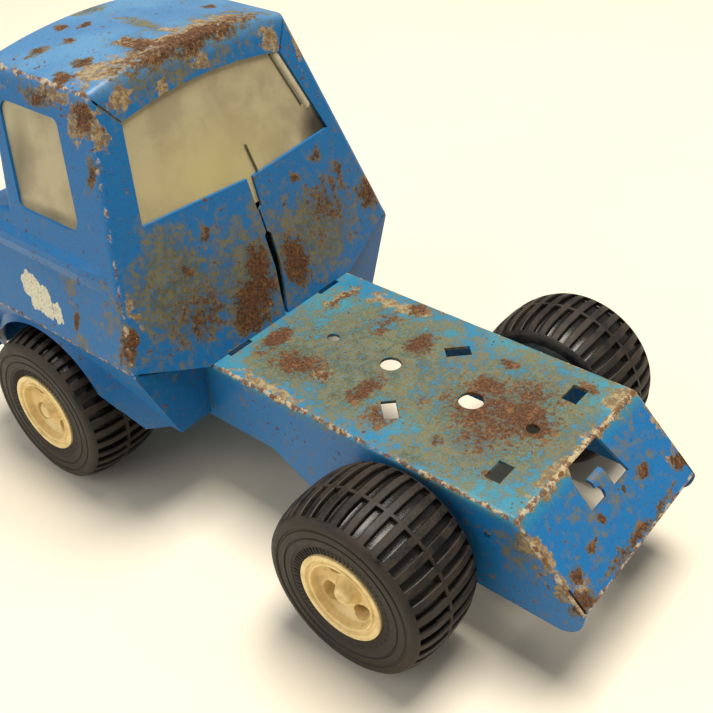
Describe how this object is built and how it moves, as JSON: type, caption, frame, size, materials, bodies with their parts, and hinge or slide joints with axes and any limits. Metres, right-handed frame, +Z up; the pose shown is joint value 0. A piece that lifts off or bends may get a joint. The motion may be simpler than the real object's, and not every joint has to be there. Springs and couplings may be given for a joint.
{
  "type": "toy truck",
  "caption": "Worn pressed-steel toy truck with a folded cab, bare channel chassis with a sloping tail, wide ribbed tyres and wheel sets that roll.",
  "frame": {"origin": "on the ground, at the centre of the overall box in X and Y", "axes": "+X to the truck's left, +Y to its rear, +Z up"},
  "size_m": [0.1304, 0.225, 0.1368],
  "materials": {
    "chassis_paint": "worn turquoise-blue enamel with rust on the deck and folds",
    "cab_paint": "worn blue enamel with rust and bare steel along the folds",
    "window_plastic": "clouded, yellowed clear plastic",
    "trim_plastic": "aged off-white plastic",
    "lens_plastic": "aged clear plastic",
    "bumper_metal": "worn blue enamel",
    "steel": "dull, lightly rusted",
    "tyre": "dusty black soft tyre",
    "hub_plastic": "cream moulded plastic",
    "wheel_back": "grey moulded plastic"
  },
  "bodies": {
    "body": {"chassis": "chassis_paint", "cab_shell": "cab_paint", "window_insert": "window_plastic", "grille": "trim_plastic", "headlight_left": "lens_plastic", "headlight_right": "lens_plastic", "front_bumper": "bumper_metal", "bumper_rivets": "steel"},
    "front_wheelset": {"front_axle": "steel", "tyre_front_left": "tyre", "tyre_front_right": "tyre", "hub_front_left": "hub_plastic", "hub_front_right": "hub_plastic", "wheel_back_front_left": "wheel_back", "wheel_back_front_right": "wheel_back"},
    "rear_wheelset": {"rear_axle": "steel", "tyre_rear_left": "tyre", "tyre_rear_right": "tyre", "hub_rear_left": "hub_plastic", "hub_rear_right": "hub_plastic", "wheel_back_rear_left": "wheel_back", "wheel_back_rear_right": "wheel_back"}
  },
  "joints": [
    {"name": "front_axle_roll", "type": "hinge", "parent": "body", "child": "front_wheelset", "pos_m": [0, -0.0661, 0.027], "axis": [1, 0, 0], "continuous": true},
    {"name": "rear_axle_roll", "type": "hinge", "parent": "body", "child": "rear_wheelset", "pos_m": [0, 0.0586, 0.027], "axis": [1, 0, 0], "continuous": true}
  ]
}
